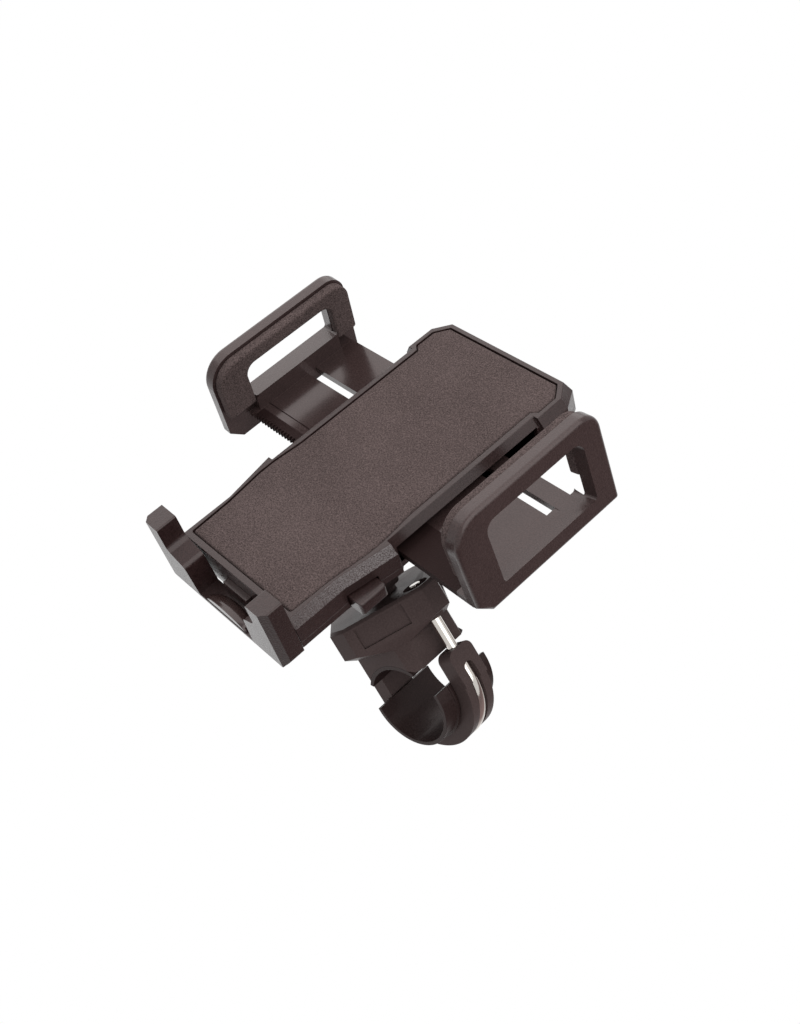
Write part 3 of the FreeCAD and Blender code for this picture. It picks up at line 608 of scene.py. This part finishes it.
def face_foam():
    """Point (u, v): x = u * half width at v, y = v; z drops on a quarter circle at the edge."""
    low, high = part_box("face_pad")
    corners = np.array([v.co for v in frame["nodes"]["face_pad"].data.vertices]) - cradle
    rim = corners[corners[:, 0] > 0]
    order = np.argsort(rim[:, 1])
    length = high.y - low.y
    thick = high.z - low.z
    edge = np.linspace(0.0, 1.0, EDGE_STEPS) ** 2
    even_rows = np.linspace(SOFT_EDGE, length - SOFT_EDGE, EVEN_ROWS)
    along = np.unique(np.concatenate([edge * SOFT_EDGE, even_rows, length - edge * SOFT_EDGE]))
    even_columns = np.linspace(EDGE_SHARE - 1, 1 - EDGE_SHARE, EVEN_COLUMNS)
    across = np.unique(np.concatenate([-1 + edge * EDGE_SHARE, even_columns, 1 - edge * EDGE_SHARE]))
    half = np.interp(along, rim[order, 1], rim[order, 0])
    u, v = np.meshgrid(across, along)
    half_here = np.interp(v, along, half)
    x = u * half_here
    from_edge = np.minimum.reduce([half_here - np.abs(x), v, length - v])
    inward = 1 - np.clip(from_edge / SOFT_EDGE, 0, 1)
    z = -SUNK_SHARE * thick * (1 - np.sqrt(1 - inward ** 2))
    top = np.stack([x, v, z], axis=-1)
    bottom = top.copy()
    bottom[..., 2] = -thick
    points = np.concatenate([top.reshape(-1, 3), bottom.reshape(-1, 3)]) + cradle
    rows, columns = x.shape
    sheet = grid_faces(rows, columns)
    border = np.concatenate([
        np.arange(columns), np.arange(1, rows) * columns + columns - 1,
        (rows - 1) * columns + np.arange(columns - 2, -1, -1), np.arange(rows - 2, 0, -1) * columns])
    after = np.roll(border, -1)
    count = rows * columns
    wall = np.stack([border, after, after + count, border + count], axis=-1)
    faces = np.concatenate([sheet, sheet[:, ::-1] + count, wall])
    return mesh_from_arrays("face_foam", points, faces)


face = stand_for(face_foam(), "face_pad")
print("face foam points:", len(face.data.vertices))

# %% [markdown]
# Each jaw's foam is an arch cut from a thicker sheet.  It could be a grid too, but
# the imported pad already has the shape, and a wider rounding on a merged copy makes
# the soft cut edge of foam.

# %% Jaw foam
JAW_FOAM_EDGE = 0.8 * MM
for node in ("left_jaw_pad", "right_jaw_pad"):
    foam = stand_for(rounded_copy(node, JAW_FOAM_EDGE, segments=4), node)
print("jaw foam edge mm:", round(JAW_FOAM_EDGE / MM, 2))

# %% [markdown]
# Two large soft boxes light the holder from above: the key on the left, towards
# the far end, and a weaker fill on the right.  Small lamps would give hard shadows
# and small highlights, and large ones wrap round the edges.

# %% Soft boxes
LAMP_TINT = (1.0, 0.96, 0.94)


def soft_box(name, place, aim, size, power):
    """A square lamp facing a point, both from the cradle's zero in mm; size in metres, power in watts."""
    data = bpy.data.lights.new(name, "AREA")
    data.size = size
    data.energy = power
    data.color = LAMP_TINT
    lamp = bpy.data.objects.new(name, data)
    bpy.context.scene.collection.objects.link(lamp)
    spot = Vector(cradle) + Vector(place) * MM
    toward = Vector(cradle) + Vector(aim) * MM - spot
    lamp.matrix_world = Matrix.Translation(spot) @ toward.to_track_quat("-Z", "Y").to_matrix().to_4x4()


soft_box("key_box", place=(-620, 360, 760), aim=(0, 40, 0), size=1.7, power=9.8)
soft_box("fill_box", place=(600, 120, 600), aim=(0, 40, -20), size=1.0, power=4.9)
print("soft boxes ready")

# %% [markdown]
# The floor lies well below the holder, so no shadow shows on it.  The camera sees
# it glow white.  As a light it is plain paint, pale on the left and darker towards
# the right, so that faces turned to the right stay dark.  Reflections see the
# glow on the left and the paint on the right.

# %% Floor
WHITE = (1, 1, 1, 1)
PALE_PAINT = (0.9, 0.9, 0.9, 1)
DARK_PAINT = (0.34, 0.25, 0.25, 1)
PAINT_ROUGHNESS = 0.9
PALE_UNTIL = -0.2
DARK_FROM = 0.45
FLOOR_DROP = 0.6
FLOOR_HALF = 4.0


def white_share(start, in_mirrors):
    """How white a backdrop is: fully for the camera and through glass, partly in reflections."""
    seen = start.make("ShaderNodeLightPath", output="Is Camera Ray")
    through = start.make("ShaderNodeLightPath", output="Is Transmission Ray")
    mirrored = start.make("ShaderNodeLightPath", output="Is Glossy Ray")
    return start.math("MINIMUM", seen + through + mirrored * in_mirrors, 1.0)


floor_corners = FLOOR_HALF * np.array([[-1, -1, 0], [1, -1, 0], [1, 1, 0], [-1, 1, 0]])
floor_corners[:, 2] = cad_low.z - FLOOR_DROP
floor = mesh_from_arrays("floor", floor_corners, np.array([[0, 1, 2, 3]]))
floor_paint, start, place, shader = new_material("floor_paint")
floor_tree = floor_paint.node_tree
across_floor = start.make("ShaderNodeSeparateXYZ", output=0, Vector=place)
paleness = start.make(
    "ShaderNodeMapRange", Value=across_floor,
    From_Min=PALE_UNTIL, From_Max=DARK_FROM, To_Min=1.0, To_Max=0.0)
feed(blend_colours(start, paleness, DARK_PAINT, PALE_PAINT), shader, "Base Color")
shader.inputs["Roughness"].default_value = PAINT_ROUGHNESS
painted = Shade(floor_tree, shader.outputs["BSDF"])
glow = start.make("ShaderNodeEmission", Color=WHITE, Strength=1.0)
mixed = start.make("ShaderNodeMixShader", _0=white_share(start, paleness), _1=painted, _2=glow)
floor_tree.links.new(mixed.socket, floor_tree.nodes["Material Output"].inputs["Surface"])
floor.data.materials.append(floor_paint)
print("floor height m:", round(cad_low.z - FLOOR_DROP, 3))

# %% [markdown]
# The air all round is white for the camera, partly white in reflections, and a
# dimmer light for everything else.  The Standard view shows colours as they are.

# %% Air
AIR_TINT = (1.0, 0.97, 0.96, 1)
AIR_STRENGTH = 0.4
AIR_IN_MIRRORS = 0.6
world = bpy.data.worlds.new("studio_air")
bpy.context.scene.world = world
world.use_nodes = True
air_tree = world.node_tree
background = air_tree.nodes["Background"]
background.inputs["Color"].default_value = AIR_TINT
background.inputs["Strength"].default_value = AIR_STRENGTH
dim_air = Shade(air_tree, background.outputs["Background"])
white_air = dim_air.make("ShaderNodeBackground", Color=WHITE, Strength=1.0)
any_air = dim_air.make(
    "ShaderNodeMixShader", _0=white_share(dim_air, AIR_IN_MIRRORS), _1=dim_air, _2=white_air)
air_tree.links.new(any_air.socket, air_tree.nodes["World Output"].inputs["Surface"])
bpy.context.scene.view_settings.view_transform = "Standard"
print("studio ready")
